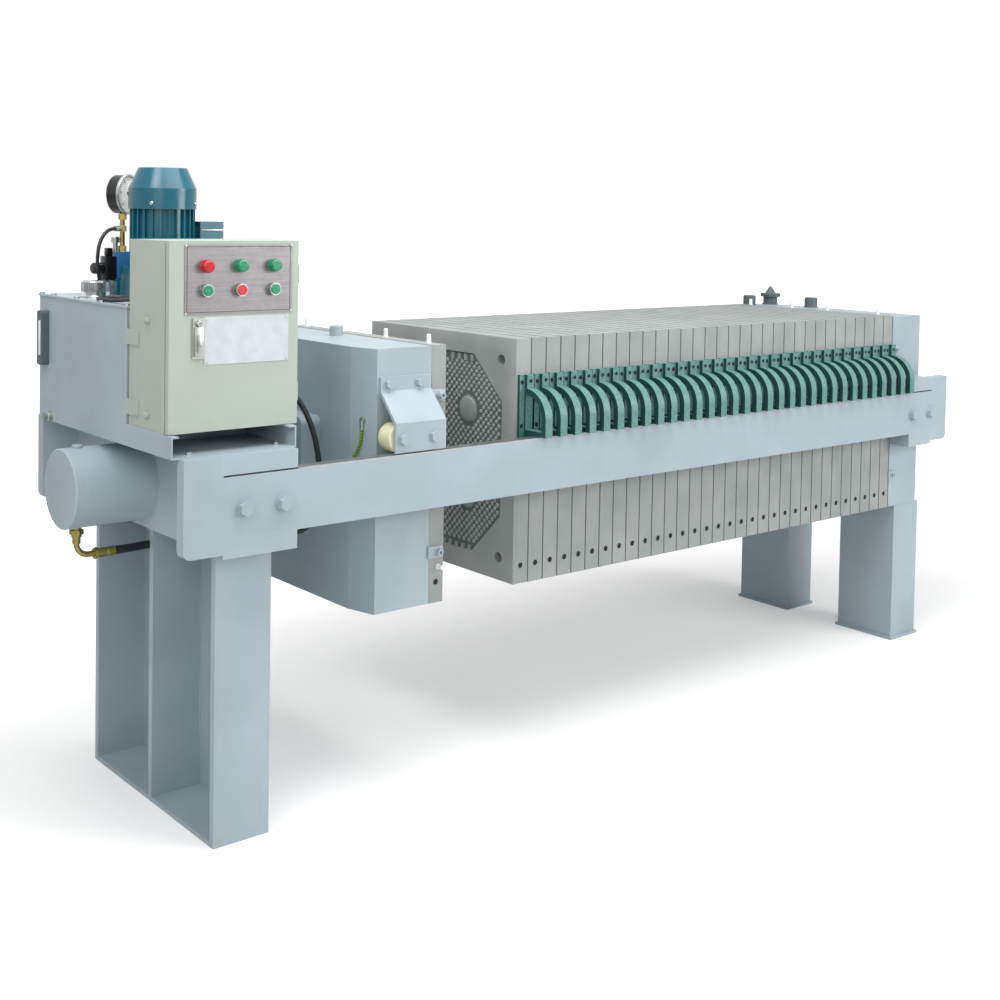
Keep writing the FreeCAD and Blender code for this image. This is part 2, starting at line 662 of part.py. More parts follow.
def door():
    """Pan-shaped door on the cabinet's right-hand side, with its hinge knuckles."""
    w = CAB_WALL
    back = CAB_FRONT_Y + DOOR_T - DOOR_GAP
    z0 = CAB_Z0 + DOOR_LIFT
    pan = box(CAB_X0, CAB_X1, CAB_FRONT_Y, back, z0, CAB_TOP_Z)
    pan = pan.cut(box(CAB_X0 + w, CAB_X1 - w, CAB_FRONT_Y + w, back + 1, z0 + w, CAB_TOP_Z - w))
    pieces = []
    for z in HINGE_Z:
        z1 = z + HINGE_HEIGHT + HINGE_CLEAR
        z2 = z1 + HINGE_HEIGHT
        leaf = box(CAB_X1, HINGE_X, HINGE_Y - HINGE_T, HINGE_Y, z1, z2)
        leaf = leaf.fuse(rod(HINGE_R, V(HINGE_X, HINGE_Y, z1), V(HINGE_X, HINGE_Y, z2)))
        pieces.append(leaf.cut(rod(PIN_R + PIN_CLEAR, V(HINGE_X, HINGE_Y, z1 - 1), V(HINGE_X, HINGE_Y, z2 + 1))))
    save("door", pan.multiFuse(pieces).removeSplitter())


def door_fittings():
    """Control panel with lamps and buttons, blank plate and latch, all on the door."""
    y = CAB_FRONT_Y
    face_y = y - PANEL_T
    panel = box(PANEL_X0, PANEL_X1, face_y, y, PANEL_Z0, PANEL_Z1)
    save("control_panel", round_corners(panel, "y", 4.0))
    save("blank_plate", box(BLANK_X0, BLANK_X1, y - BLANK_T, y, BLANK_Z0, BLANK_Z1))
    latch = box(LATCH_X0, LATCH_X1, y - LATCH_T, y, LATCH_Z0, LATCH_Z1)
    save("door_latch", round_corners(latch, "y", 3.0))
    lamps = []
    bezels = []
    for x in CONTROL_X:
        collar = rod(LAMP_R, V(x, face_y, LAMP_Z), V(x, face_y - 8.0, LAMP_Z))
        lens = rod(LAMP_R - 2.0, V(x, face_y - 8.0, LAMP_Z), V(x, face_y - LAMP_OUT, LAMP_Z))
        front = [e for e in lens.Edges if e.BoundBox.YMax < face_y - LAMP_OUT + 0.1]
        lamps.append(collar.fuse(lens.makeFillet(4.0, front)).removeSplitter())
        ring = rod(BEZEL_R, V(x, face_y, BUTTON_Z), V(x, face_y - BEZEL_OUT, BUTTON_Z))
        bezels.append(ring.cut(rod(BUTTON_R + BUTTON_CLEAR, V(x, face_y + 1, BUTTON_Z),
                                   V(x, face_y - BEZEL_OUT - 1, BUTTON_Z))))
    save("pilot_lamps", Part.makeCompound(lamps))
    save("button_bezels", Part.makeCompound(bezels))
    for x, label in zip(CONTROL_X, ("left", "middle", "right")):
        tip = face_y - BEZEL_OUT - BUTTON_STAND
        cap = rod(BUTTON_R, V(x, tip + BUTTON_LENGTH, BUTTON_Z), V(x, tip, BUTTON_Z))
        save("button_" + label, cap.makeFillet(1.5, [e for e in cap.Edges if e.BoundBox.YMax < tip + 0.1]))


def round_corners(shape, axis, radius):
    """Fillet the edges that run along one axis."""
    lengths = {"x": "XLength", "y": "YLength", "z": "ZLength"}
    chosen = []
    for edge in shape.Edges:
        sizes = {k: getattr(edge.BoundBox, v) for k, v in lengths.items()}
        along = sizes.pop(axis)
        if along > 0.1 and max(sizes.values()) < 0.01:
            chosen.append(edge)
    return shape.makeFillet(radius, chosen)


# ---------------------------------------------------------------- hoses, gauge and small fittings
def held_hoses():
    """Pressure hoses from the tank to both ends of the cylinder, and the gauge hose."""
    low = [V(-302, 0, 772), V(-262, 0, 772), V(-215, 4, 768), V(-160, 14, 762), V(-95, 34, 757),
           V(-30, HOSE_HOLE_Y - 2, HOSE_HOLE_Z), V(40, HOSE_HOLE_Y, HOSE_HOLE_Z - 1),
           V(105, HOSE_HOLE_Y + 2, HOSE_HOLE_Z + 2), V(150, HOSE_HOLE_Y + 3, 790),
           V(167, HOSE_HOLE_Y + 6, 850), V(163, 80, 915), V(158, 120, 975), V(156, 150, 1040),
           V(152, 165, 1100), V(148, 166, 1150), V(143, 165, 1190)]
    return low


HOSE_HOLE_R = 28.0
HOSE_HOLE_Y = 60.0
HOSE_HOLE_Z = 755.0

os.makedirs("parts", exist_ok=True)
stand()
seat_block()
cylinder()
beams()
moving_head()
rollers()
first_plate()
plate_pack()
handles()
feed_head()
tray()
tank()
motor()
cabinet()
door()
door_fittings()
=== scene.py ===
"""Plate filter press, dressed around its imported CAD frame."""
import json
import math

import bmesh
import bpy
from mathutils import Matrix, Vector


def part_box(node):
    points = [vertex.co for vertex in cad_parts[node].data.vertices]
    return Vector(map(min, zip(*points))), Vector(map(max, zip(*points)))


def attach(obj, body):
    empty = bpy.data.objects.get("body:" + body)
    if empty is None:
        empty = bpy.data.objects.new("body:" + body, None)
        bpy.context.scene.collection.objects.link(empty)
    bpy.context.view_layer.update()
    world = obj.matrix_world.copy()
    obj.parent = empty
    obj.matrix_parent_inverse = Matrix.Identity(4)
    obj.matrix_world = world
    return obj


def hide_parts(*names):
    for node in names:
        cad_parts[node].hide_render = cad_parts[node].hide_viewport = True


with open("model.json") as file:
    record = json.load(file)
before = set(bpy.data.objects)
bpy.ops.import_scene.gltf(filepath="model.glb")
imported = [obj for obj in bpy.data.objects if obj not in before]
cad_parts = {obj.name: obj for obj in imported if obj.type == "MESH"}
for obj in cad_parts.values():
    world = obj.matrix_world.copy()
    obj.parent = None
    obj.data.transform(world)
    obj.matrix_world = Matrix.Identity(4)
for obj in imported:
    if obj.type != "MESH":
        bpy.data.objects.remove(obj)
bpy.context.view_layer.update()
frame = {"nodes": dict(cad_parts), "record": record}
nodes = frame["nodes"]


# ---------------------------------------------------------------- finishes
def shade(hex_colour):
    """Linear colour from a written sRGB one."""
    parts = [int(hex_colour[k:k + 2], 16) / 255.0 for k in (0, 2, 4)]
    linear = [p / 12.92 if p <= 0.04045 else ((p + 0.055) / 1.055) ** 2.4 for p in parts]
    return (*linear, 1.0)


class Finish:
    """A material being put together from nodes on Object coordinates."""

    def __init__(self, name, rough, metal=0.0, coat=0.0):
        self.material = bpy.data.materials.new(name)
        self.material.use_nodes = True
        self.tree = self.material.node_tree
        self.shader = self.tree.nodes["Principled BSDF"]
        self.shader.inputs["Roughness"].default_value = rough
        self.shader.inputs["Metallic"].default_value = metal
        self.shader.inputs["Coat Weight"].default_value = coat
        self.place = self.node("TexCoord").outputs["Object"]

    def node(self, kind, **settings):
        made = self.tree.nodes.new("ShaderNode" + kind)
        for key, value in settings.items():
            setattr(made, key, value)
        return made

    def join(self, source, target):
        self.tree.links.new(source, target)

    def noise(self, size, detail=3.0, rough=0.55, stretch=None):
        """Noise whose features are about size metres across."""
        made = self.node("TexNoise")
        made.inputs["Scale"].default_value = 1.0 / size
        made.inputs["Detail"].default_value = detail
        made.inputs["Roughness"].default_value = rough
        place = self.place
        if stretch:
            mapping = self.node("Mapping")
            mapping.inputs["Scale"].default_value = stretch
            self.join(self.place, mapping.inputs["Vector"])
            place = mapping.outputs["Vector"]
        self.join(place, made.inputs["Vector"])
        return made.outputs["Fac"]

    def spread(self, value, low, high, start=0.3, stop=0.7):
        """Map a 0 to 1 value onto another range."""
        made = self.node("MapRange")
        for key, number in (("From Min", start), ("From Max", stop), ("To Min", low), ("To Max", high)):
            made.inputs[key].default_value = number
        self.join(value, made.inputs["Value"])
        return made.outputs["Result"]

    def mix(self, fac, first, second):
        """Blend two colours, each a socket or a constant."""
        made = self.node("Mix", data_type="RGBA")
        for source, target in ((fac, made.inputs[0]), (first, made.inputs[6]), (second, made.inputs[7])):
            if isinstance(source, (float, tuple)):
                target.default_value = source
            else:
                self.join(source, target)
        return made.outputs[2]

    def edges(self, radius):
        """Near 1 along the part's sharp edges."""
        bevel = self.node("Bevel", samples=4)
        bevel.inputs["Radius"].default_value = radius
        flat = self.node("NewGeometry").outputs["Normal"]
        dot = self.node("VectorMath", operation="DOT_PRODUCT")
        self.join(bevel.outputs["Normal"], dot.inputs[0])
        self.join(flat, dot.inputs[1])
        return self.spread(dot.outputs["Value"], 1.0, 0.0, 0.80, 0.985)

    def product(self, first, second):
        made = self.node("Math", operation="MULTIPLY")
        self.join(first, made.inputs[0])
        self.join(second, made.inputs[1])
        return made.outputs[0]

    def bump(self, height, strength, distance):
        made = self.node("Bump")
        made.inputs["Strength"].default_value = strength
        made.inputs["Distance"].default_value = distance
        self.join(height, made.inputs["Height"])
        self.join(made.outputs["Normal"], self.shader.inputs["Normal"])

    def colour(self, socket):
        if isinstance(socket, tuple):
            self.shader.inputs["Base Color"].default_value = socket
        else:
            self.join(socket, self.shader.inputs["Base Color"])

    def roughness(self, socket):
        self.join(socket, self.shader.inputs["Roughness"])


def paint(name, colour, rough=0.42, peel=0.0035, worn="C3CDD3", wear=0.45):
    """Sprayed machine paint: cloudy tone, orange peel and rubbed edges."""
    f = Finish(name, rough)
    tone = shade(colour)
    pale = tuple(min(1.0, c * 1.10) for c in tone[:3]) + (1.0,)
    dull = tuple(c * 0.90 for c in tone[:3]) + (1.0,)
    cloud = f.mix(f.spread(f.noise(0.35, 4.0), 0.0, 1.0), dull, pale)
    rubbed = f.product(f.edges(0.0035), f.spread(f.noise(0.02, 5.0), 0.0, wear, 0.35, 0.75))
    f.colour(f.mix(rubbed, cloud, shade(worn)))
    f.roughness(f.spread(f.noise(0.05), rough - 0.05, rough + 0.07))
    f.bump(f.noise(peel, 2.0), 0.10, 0.0006)
    return f.material


def textured_paint(name, colour, grain=0.0022):
    """Powder coat with a fine wrinkled grain."""
    f = Finish(name, 0.5)
    tone = shade(colour)
    dull = tuple(c * 0.93 for c in tone[:3]) + (1.0,)
    f.colour(f.mix(f.spread(f.noise(0.25, 3.0), 0.0, 1.0), dull, tone))
    f.roughness(f.spread(f.noise(0.01), 0.44, 0.56))
    f.bump(f.noise(grain, 3.0, 0.6), 0.28, 0.0008)
    return f.material


def filled_plastic(name, colour, side):
    """Moulded polypropylene, machined in fine lines and chalky."""
    f = Finish(name, 0.6)
    cloud = f.mix(f.spread(f.noise(0.12, 5.0), 0.0, 1.0), shade(side), shade(colour))
    streak = f.noise(0.004, 2.0, 0.5, stretch=(0.06, 1.0, 1.0))
    f.colour(f.mix(f.spread(streak, 0.0, 0.16), cloud, shade("8D9090")))
    f.roughness(f.spread(f.noise(0.03), 0.52, 0.68))
    f.bump(streak, 0.12, 0.0005)
    return f.material


def bare_metal(name, colour, rough, grain=(0.03, 1.0, 1.0)):
    """Drawn or turned metal with a directional grain."""
    f = Finish(name, rough, metal=1.0)
    streak = f.noise(0.002, 3.0, 0.6, stretch=grain)
    tone = shade(colour)
    dull = tuple(c * 0.78 for c in tone[:3]) + (1.0,)
    f.colour(f.mix(f.spread(streak, 0.0, 1.0), dull, tone))
    f.roughness(f.spread(f.noise(0.02), rough - 0.06, rough + 0.10))
    f.bump(streak, 0.08, 0.0003)
    return f.material


def moulding(name, colour, rough=0.3):
    """Plain moulded plastic or rubber."""
    f = Finish(name, rough)
    tone = shade(colour)
    dull = tuple(c * 0.88 for c in tone[:3]) + (1.0,)
    f.colour(f.mix(f.spread(f.noise(0.03, 3.0), 0.0, 1.0), dull, tone))
    f.roughness(f.spread(f.noise(0.01), rough - 0.04, rough + 0.06))
    f.bump(f.noise(0.0015, 2.0), 0.06, 0.0004)
    return f.material


def handle_paint(name):
    """Green casting with a pebbled grain: faces turned along X get a dark painted-shade green (the flanks), all others
    a paler painted-highlight green (the rims).
    """
    f = Finish(name, 0.4)
    flank = f.node("SeparateXYZ")
    f.join(f.node("NewGeometry").outputs["Normal"], flank.inputs[0])
    side = f.node("Math", operation="ABSOLUTE")
    f.join(flank.outputs["X"], side.inputs[0])
    mottle = f.spread(f.noise(0.006, 4.0), 0.0, 1.0)
    dark = f.mix(mottle, shade("12332F"), shade("1F4B46"))
    pale = f.mix(mottle, shade("3F6C66"), shade("648F88"))
    # Painted light: shade on faces turned along X, highlight on the rest.
    f.colour(f.mix(f.spread(side.outputs[0], 0.0, 1.0, 0.55, 0.85), pale, dark))
    f.roughness(f.spread(f.noise(0.02), 0.34, 0.52))
    f.bump(f.noise(0.004, 3.0), 0.35, 0.0012)
    return f.material


def lens_plastic(name):
    """Lamp lenses: the left one red, the others green."""
    f = Finish(name, 0.18, coat=0.4)
    across = f.node("SeparateXYZ")
    f.join(f.place, across.inputs[0])
    right = f.spread(across.outputs["X"], 0.0, 1.0, -0.105, -0.100)
    glow = f.spread(f.noise(0.008), 0.0, 0.25)
    green = f.mix(glow, shade("107A55"), shade("2FA880"))
    red = f.mix(glow, shade("B3121F"), shade("D8434B"))
    f.colour(f.mix(right, red, green))
    return f.material


def striped(name, first, second, width):
    """Two colours in bands along Z."""
    f = Finish(name, 0.4)
    band = f.node("TexWave", wave_type="BANDS", bands_direction="Z")
    band.inputs["Scale"].default_value = 1.0 / width
    f.join(f.place, band.inputs["Vector"])
    f.colour(f.mix(f.spread(band.outputs["Fac"], 0.0, 1.0, 0.45, 0.55), shade(first), shade(second)))
    f.bump(f.noise(0.002), 0.05, 0.0003)
    return f.material


grey_blue = paint("grey_blue_paint", "9AA8AF")
panel_green = textured_paint("cabinet_powder_coat", "A6B0A7")
plate_grey = filled_plastic("plate_polypropylene", "969A98", "848A89")
# Painted shade: a darker copy of the plate plastic for the sheet on the recessed field.
field_painted_shade = filled_plastic("polypropylene_painted_shade", "5E6663", "4A5350")
handle_green = handle_paint("handle_green")
cream = moulding("roller_nylon", "D9D6B4", 0.45)
strip_metal = bare_metal("worn_strip", "B9BDBC", 0.34)
rod_chrome = bare_metal("rod_chrome", "D2D5D6", 0.16, (1.0, 0.03, 0.03))
zinc = bare_metal("zinc_plate", "BFC1BC", 0.32, (1.0, 1.0, 1.0))
brass = bare_metal("dull_brass", "A79A5C", 0.36, (1.0, 1.0, 1.0))
aluminium = bare_metal("panel_aluminium", "918E90", 0.45, (0.02, 1.0, 1.0))
teal = paint("motor_paint", "0B5768", 0.2, worn="3F8190")
valve_blue = paint("valve_blue_paint", "2D6BA0", 0.35, worn="7FA6C4")
dark_steel = paint("dark_steel_paint", "4B5356", 0.45, worn="8C9496")
white_plate = moulding("white_plate", "C3C8CB", 0.4)
white_nylon = moulding("white_nylon", "E8EAE8", 0.4)
black_rubber = moulding("black_rubber", "1B1C1F", 0.45)
black_lacquer = moulding("black_lacquer", "17181B", 0.25)
# Painted shadow for the gaps between the plates.
seam_painted_shade = moulding("seam_shadow_paint", "4E5352", 0.8)
# Painted shade: near-black for the insides of holes and for gaps that show only shade.
hole_shade = moulding("hole_shadow", "101214", 0.9)
dial_white = moulding("dial_white", "EFEFEA", 0.5)
green_cap = moulding("green_cap", "1F8A68", 0.25)
red_cap = moulding("red_cap", "C8383C", 0.25)
lenses = lens_plastic("lamp_lenses")
earth_stripe = striped("earth_sleeve", "8E9A1C", "3E7A2E", 0.03)

finish_of = {
    "strip_steel": strip_metal, "rod_chrome": rod_chrome, "plate_plastic": plate_grey,
    "handle_green": handle_green, "roller_nylon": cream, "cabinet_paint": panel_green,
    "panel_aluminium": aluminium, "blank_white": white_plate, "lamp_plastic": lenses,
    "button_green": green_cap, "button_red": red_cap, "motor_paint": teal, "frame_paint": grey_blue,
}
for part in frame["record"]["subparts"]:
    dressed = nodes[part["node"]]
    dressed.data.materials.clear()
    dressed.data.materials.append(finish_of.get(part["material_slot"], grey_blue))
nodes["button_bezels"].data.materials[0] = zinc
nodes["door_latch"].data.materials[0] = zinc
nodes["level_gauge"].data.materials[0] = dark_steel


# ---------------------------------------------------------------- shaping, in millimetres
class Form:
    """A piece being shaped in the part's frame, in millimetres."""

    def __init__(self):
        self.mesh = bmesh.new()

    def slab(self, x0, x1, y0, y1, z0, z1, bevel=0.0, turn=None):
        """Box between two corners, with its edges broken."""
        size = Vector((x1 - x0, y1 - y0, z1 - z0))
        middle = Vector(((x0 + x1) / 2.0, (y0 + y1) / 2.0, (z0 + z1) / 2.0))
        place = Matrix.Translation(middle) @ (turn or Matrix()) @ Matrix.Diagonal((*size, 1.0))
        made = bmesh.ops.create_cube(self.mesh, size=1.0, matrix=place)["verts"]
        if bevel:
            edges = {e for v in made for e in v.link_edges}
            bmesh.ops.bevel(self.mesh, geom=list(edges), offset=bevel, segments=2, profile=0.5,
                            affect="EDGES", clamp_overlap=True, material=-1)

    def bar(self, start, end, radius, tip=None, sides=32):
        """Round bar, cone or prism from one point to another."""
        start, end = Vector(start), Vector(end)
        way = end - start
        place = Matrix.Translation((start + end) / 2.0) @ way.to_track_quat("Z", "Y").to_matrix().to_4x4()
        bmesh.ops.create_cone(self.mesh, cap_ends=True, segments=sides, radius1=radius,
                              radius2=radius if tip is None else tip, depth=way.length, matrix=place)

    def nut(self, start, end, across):
        self.bar(start, end, across / math.sqrt(3.0), sides=6)

    def lathe(self, foot, way, profile, sides=64):
        """Turned form: profile holds distances along the axis and radii, from end to end."""
        turn = Vector(way).to_track_quat("Z", "Y").to_matrix().to_4x4()
        place = Matrix.Translation(foot) @ turn
        rings = []
        for along, radius in profile:
            ring = []
            for k in range(sides):
                angle = 2.0 * math.pi * k / sides
                spot = Vector((radius * math.cos(angle), radius * math.sin(angle), along))
                ring.append(self.mesh.verts.new(place @ spot))
            rings.append(ring)
        for low, high in zip(rings, rings[1:]):
            for k in range(sides):
                j = (k + 1) % sides
                self.mesh.faces.new((low[k], low[j], high[j], high[k]))
        self.mesh.faces.new(rings[0][::-1])
        self.mesh.faces.new(rings[-1])

    def prism(self, corners, way):
        """Closed polygon pushed along a vector."""
        low = [self.mesh.verts.new(c) for c in corners]
        high = [self.mesh.verts.new(Vector(c) + Vector(way)) for c in corners]
        self.mesh.faces.new(low)
        self.mesh.faces.new(high[::-1])
        for k in range(len(low)):
            j = (k + 1) % len(low)
            self.mesh.faces.new((low[k], low[j], high[j], high[k]))

    def made(self, name, finish, body="frame", slot=None, replaces=(), angle=32.0):
        """Turn the form into a piece that rides on a body."""
        bmesh.ops.recalc_face_normals(self.mesh, faces=self.mesh.faces)
        bmesh.ops.scale(self.mesh, vec=(0.001, 0.001, 0.001), verts=self.mesh.verts)
        data = bpy.data.meshes.new(name)
        self.mesh.to_mesh(data)
        self.mesh.free()
        data.shade_smooth()
        data.set_sharp_from_angle(angle=math.radians(angle))
        data.materials.append(finish)
        piece = bpy.data.objects.new(name, data)
        bpy.context.scene.collection.objects.link(piece)
        if body:
            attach(piece, body)
        if replaces:
            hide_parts(*replaces)
        return piece


def carved(form, name, finish, cutter, **settings):
    """A form with another form cut out of it."""
    block = form.made(name + "_block", finish, body=None)
    tool = cutter.made(name + "_tool", finish, body=None)
    cut = block.modifiers.new("cut", "BOOLEAN")
    cut.object = tool
    cut.solver = "EXACT"
    graph = bpy.context.evaluated_depsgraph_get()
    data = bpy.data.meshes.new_from_object(block.evaluated_get(graph))
    result = Form()
    result.mesh.from_mesh(data)
    bmesh.ops.scale(result.mesh, vec=(1000.0, 1000.0, 1000.0), verts=result.mesh.verts)
    for old in (block, tool):
        bpy.data.objects.remove(old)
    return result.made(name, finish, **settings)


def cord(name, points, radius, finish, body):
    """Hose or cable along a smooth line through the air."""
    data = bpy.data.curves.new(name, "CURVE")
    data.dimensions = "3D"
    line = data.splines.new("NURBS")
    line.points.add(len(points) - 1)
    for spot, place in zip(line.points, points):
        spot.co = (*(0.001 * c for c in place), 1.0)
    line.order_u = 3
    line.use_endpoint_u = True
    line.resolution_u = 6
    data.bevel_depth = 0.001 * radius
    data.bevel_resolution = 4
    data.use_fill_caps = True
    data.materials.append(finish)
    piece = bpy.data.objects.new(name, data)
    bpy.context.scene.collection.objects.link(piece)
    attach(piece, body)
    [0.001 * c for c in points[0]]
    return piece


# ---------------------------------------------------------------- stand
def millimetres(node):
    """Lowest and highest corners of a CAD node."""
    return [[1000.0 * c for c in corner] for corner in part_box(node)]


def stand():
    """Stitch welds where the flanges meet the web, and the hose's grommets."""
    (web_back, _, _), (web_front, _, _) = millimetres("stand_web")
    (_, outer, _), _ = millimetres("stand_flanges")
    thick = 22.0
    welds = Form()
    for y in (outer + thick + 1, -thick / 2 - 1, thick / 2 + 1, -outer - thick - 1):
        for z0, z1 in ((170, 350), (485, 655)):
            for k in range(int((z1 - z0) / 6)):
                bmesh.ops.create_icosphere(welds.mesh, subdivisions=1, radius=4.2,
                                           matrix=Matrix.Translation((web_back - 1, y, z0 + 6 * k)))
    welds.made("stitch_welds", grey_blue, slot="frame_paint")
    grommets = Form()
    grommets.lathe((web_back + 0.5, 54, 773), (-1, 0, 0), ((0, 21), (3, 21), (5, 18), (5, 13)), 40)
    grommets.lathe((web_front - 0.5, 54, 773), (1, 0, 0), ((0, 21), (3, 21), (5, 18), (5, 13)), 40)
    grommets.made("hose_grommets", black_rubber)


# ---------------------------------------------------------------- first plate
AXIS = 973.0


def first_plate():
    """Recessed plate with its slots, holes, stay bosses and pips."""
    plate = Form()
    plate.slab(993, 1058, -400, 400, 573, 1373, 2.5)
    cuts = Form()
    half, corner = 333.0, 145.0
    outline = []
    for sy, sz in ((-1, -1), (1, -1), (1, 1), (-1, 1)):
        beside = (985.0, sy * half, AXIS + sz * (half - corner))
        above = (985.0, sy * (half - corner), AXIS + sz * half)
        outline += [beside, above] if sy * sz > 0 else [above, beside]
    cuts.prism(outline, (16.0, 0.0, 0.0))
    for sy in (-1, 1):
        for sz in (-1, 1):
            cuts.bar((985, sy * 327, AXIS + sz * 325), (1040, sy * 327, AXIS + sz * 325), 18)
            for k in range(5):
                y = sy * (175.0 - 34.0 * k)
                z = AXIS + sz * 322.0
                cuts.slab(994.0, 1014.0, y - 6, y + 6, z - 16, z + 6)
        cuts.bar((1025.5, sy * 375, 633), (1025.5, sy * 410, 633), 8, sides=20)
    cuts.bar((985, 0, AXIS), (1050, 0, AXIS), 34, sides=48)
    carved(plate, "first_plate_face", plate_grey, cuts, slot="plate_plastic", replaces=("first_plate",))
    # Thin sheet on the field's floor in the darker copy: painted shade in the recess.
    floor = Form()
    inner = [(1000.4, y * 0.994, AXIS + (z - AXIS) * 0.994) for x, y, z in outline]
    floor.prism(inner, (0.5, 0.0, 0.0))
    ring = Form()
    ring.bar((999, 0, AXIS), (1003, 0, AXIS), 36, sides=48)
    carved(floor, "field_floor", field_painted_shade, ring, slot="plate_plastic")
    pips = Form()
    bosses = [(sy * 155.0, sz * 145.0) for sy in (-1, 1) for sz in (-1, 1)]
    pitch = 13.0
    for row in range(-25, 26):
        for col in range(-13, 14):
            y = (col + 0.5 * (row % 2)) * 2.0 * pitch
            z = row * pitch
            clear = abs(y) < 324 and abs(z) < 312 and abs(y) + abs(z) < 2 * half - corner - 16
            if not clear or math.hypot(y, z) < 48 or any(math.hypot(y - a, z - b) < 60 for a, b in bosses):
                continue
            pips.bar((1000.8, y, AXIS + z), (996.2, y, AXIS + z), 8.2, 5.0, sides=8)
    pips.made("field_pips", plate_grey, slot="plate_plastic")
    stays = Form()
    for y, z in bosses:
        stays.lathe((1001, y, AXIS + z), (-1, 0, 0), ((0, 46), (2.0, 46), (2.0, 40), (7.0, 38), (8.0, 36)), 48)
    stays.made("stay_bosses", plate_grey, slot="plate_plastic")
    seams, rims, drains = Form(), Form(), Form()
    # Thin dark strips at each plate joint, proud of the sides and top: painted shadow of the gaps.
    for k in range(32):
        x = 1058.15 + 65.3 * k
        for sy in (-1, 1):
            seams.slab(x - 1.1, x + 1.1, sy * 400.4 - 0.4, sy * 400.4 + 0.4, 574, 1373.4)
        seams.slab(x - 1.1, x + 1.1, -400.0, 400.0, 1372.6, 1373.4)
    for k in range(32):
        x = 1025.5 + 65.3 * k
        for sy in (-1, 1):
            rims.lathe((x, sy * 399.4, 633), (0, sy, 0), ((0, 13), (1.0, 13), (1.4, 12.4), (1.4, 9.5), (0.6, 9.5)), 24)
            # Dark disc in each drain hole: painted shade.
            drains.lathe((x, sy * 399.6, 633), (0, sy, 0), ((0, 9.5), (0.6, 9.5)), 24)
    seams.made("seam_shadow_strips", seam_painted_shade)
    rims.made("drain_rims", plate_grey, slot="plate_plastic")
    drains.made("drain_mouths", hole_shade)


# ---------------------------------------------------------------- moving head
def socket_screw(form, seat, way, radius=11.0, height=12.0):
    """Washer and cylinder-head screw."""
    way = Vector(way)
    seat = Vector(seat)
    form.lathe(seat, way, ((0, radius * 1.5), (2.0, radius * 1.5), (2.5, radius * 1.4)), 32)
    form.lathe(seat + way * 2.5, way, ((0, radius), (height - 1.5, radius), (height, radius - 1.5),
                                       (height, radius * 0.5), (height * 0.5, radius * 0.5)), 32)


def moving_head():
    """Lifting boss, clamps, nozzles and earth lugs."""
    boss = Form()
    boss.lathe((583, 28, 1366), (0, 0, 1), ((0, 22), (32, 22), (34, 20), (34, 9), (20, 9)), 40)
    for sy in (-1, 1):
        for z in (1214.0, 728.0):
            y = sy * 399.0
            boss.slab(641, 697, min(y, y + sy * 7), max(y, y + sy * 7), z - 19, z + 19, 1.5)
            socket_screw(boss, (679, y + sy * 7, z), (0, sy, 0))
    boss.made("head_clamps", grey_blue, "moving_head", "frame_paint")
    nozzles = Form()
    for y in (-348, -122, 122, 348):
        nozzles.lathe((675, y, 1368), (0, 0, 1), ((0, 9), (5, 9), (6, 7.5), (28, 7), (30, 5.5)), 24)
    nozzles.lathe((682, -399, 681), (0, -1, 0), ((0, 9), (5, 9), (6, 7.5), (24, 7), (26, 5.5)), 24)
    nozzles.lathe((682, 399, 681), (0, 1, 0), ((0, 9), (5, 9), (6, 7.5), (24, 7), (26, 5.5)), 24)
    nozzles.made("tail_nozzles", white_nylon, "moving_head")
    mouths = Form()
    for sy in (-1, 1):
        # Dark discs in the drain mouths: painted shade.
        mouths.lathe((675, sy * 399.6, 634), (0, sy, 0), ((0, 9), (0.8, 9), (0.8, 6)), 24)
    mouths.made("tail_drain_mouths", hole_shade, "moving_head")
    lugs = Form()
    lugs.bar((431, -347, 1150), (427.2, -348.2, 1150), 11)
    lugs.bar((424.2, -349, 1150), (424.2, -349, 1121), 6.5)
    lugs.nut((427.2, -348.2, 1150), (421.0, -350.2, 1150), 14)
    lugs.bar((416, -290, 922), (412, -290, 922), 11)
    lugs.bar((409, -290, 922), (409, -290, 951), 6.5)
    lugs.nut((412, -290, 922), (405, -290, 922), 14)
    lugs.made("earth_lugs", zinc, "moving_head")
    cord("earth_wire", ((424.2, -349, 1121), (424.2, -349, 1096), (418, -340, 1065), (411, -326, 1035),
                        (407, -311, 1006), (409, -290, 977), (409, -290, 951)),
         4.5, earth_stripe, "moving_head")


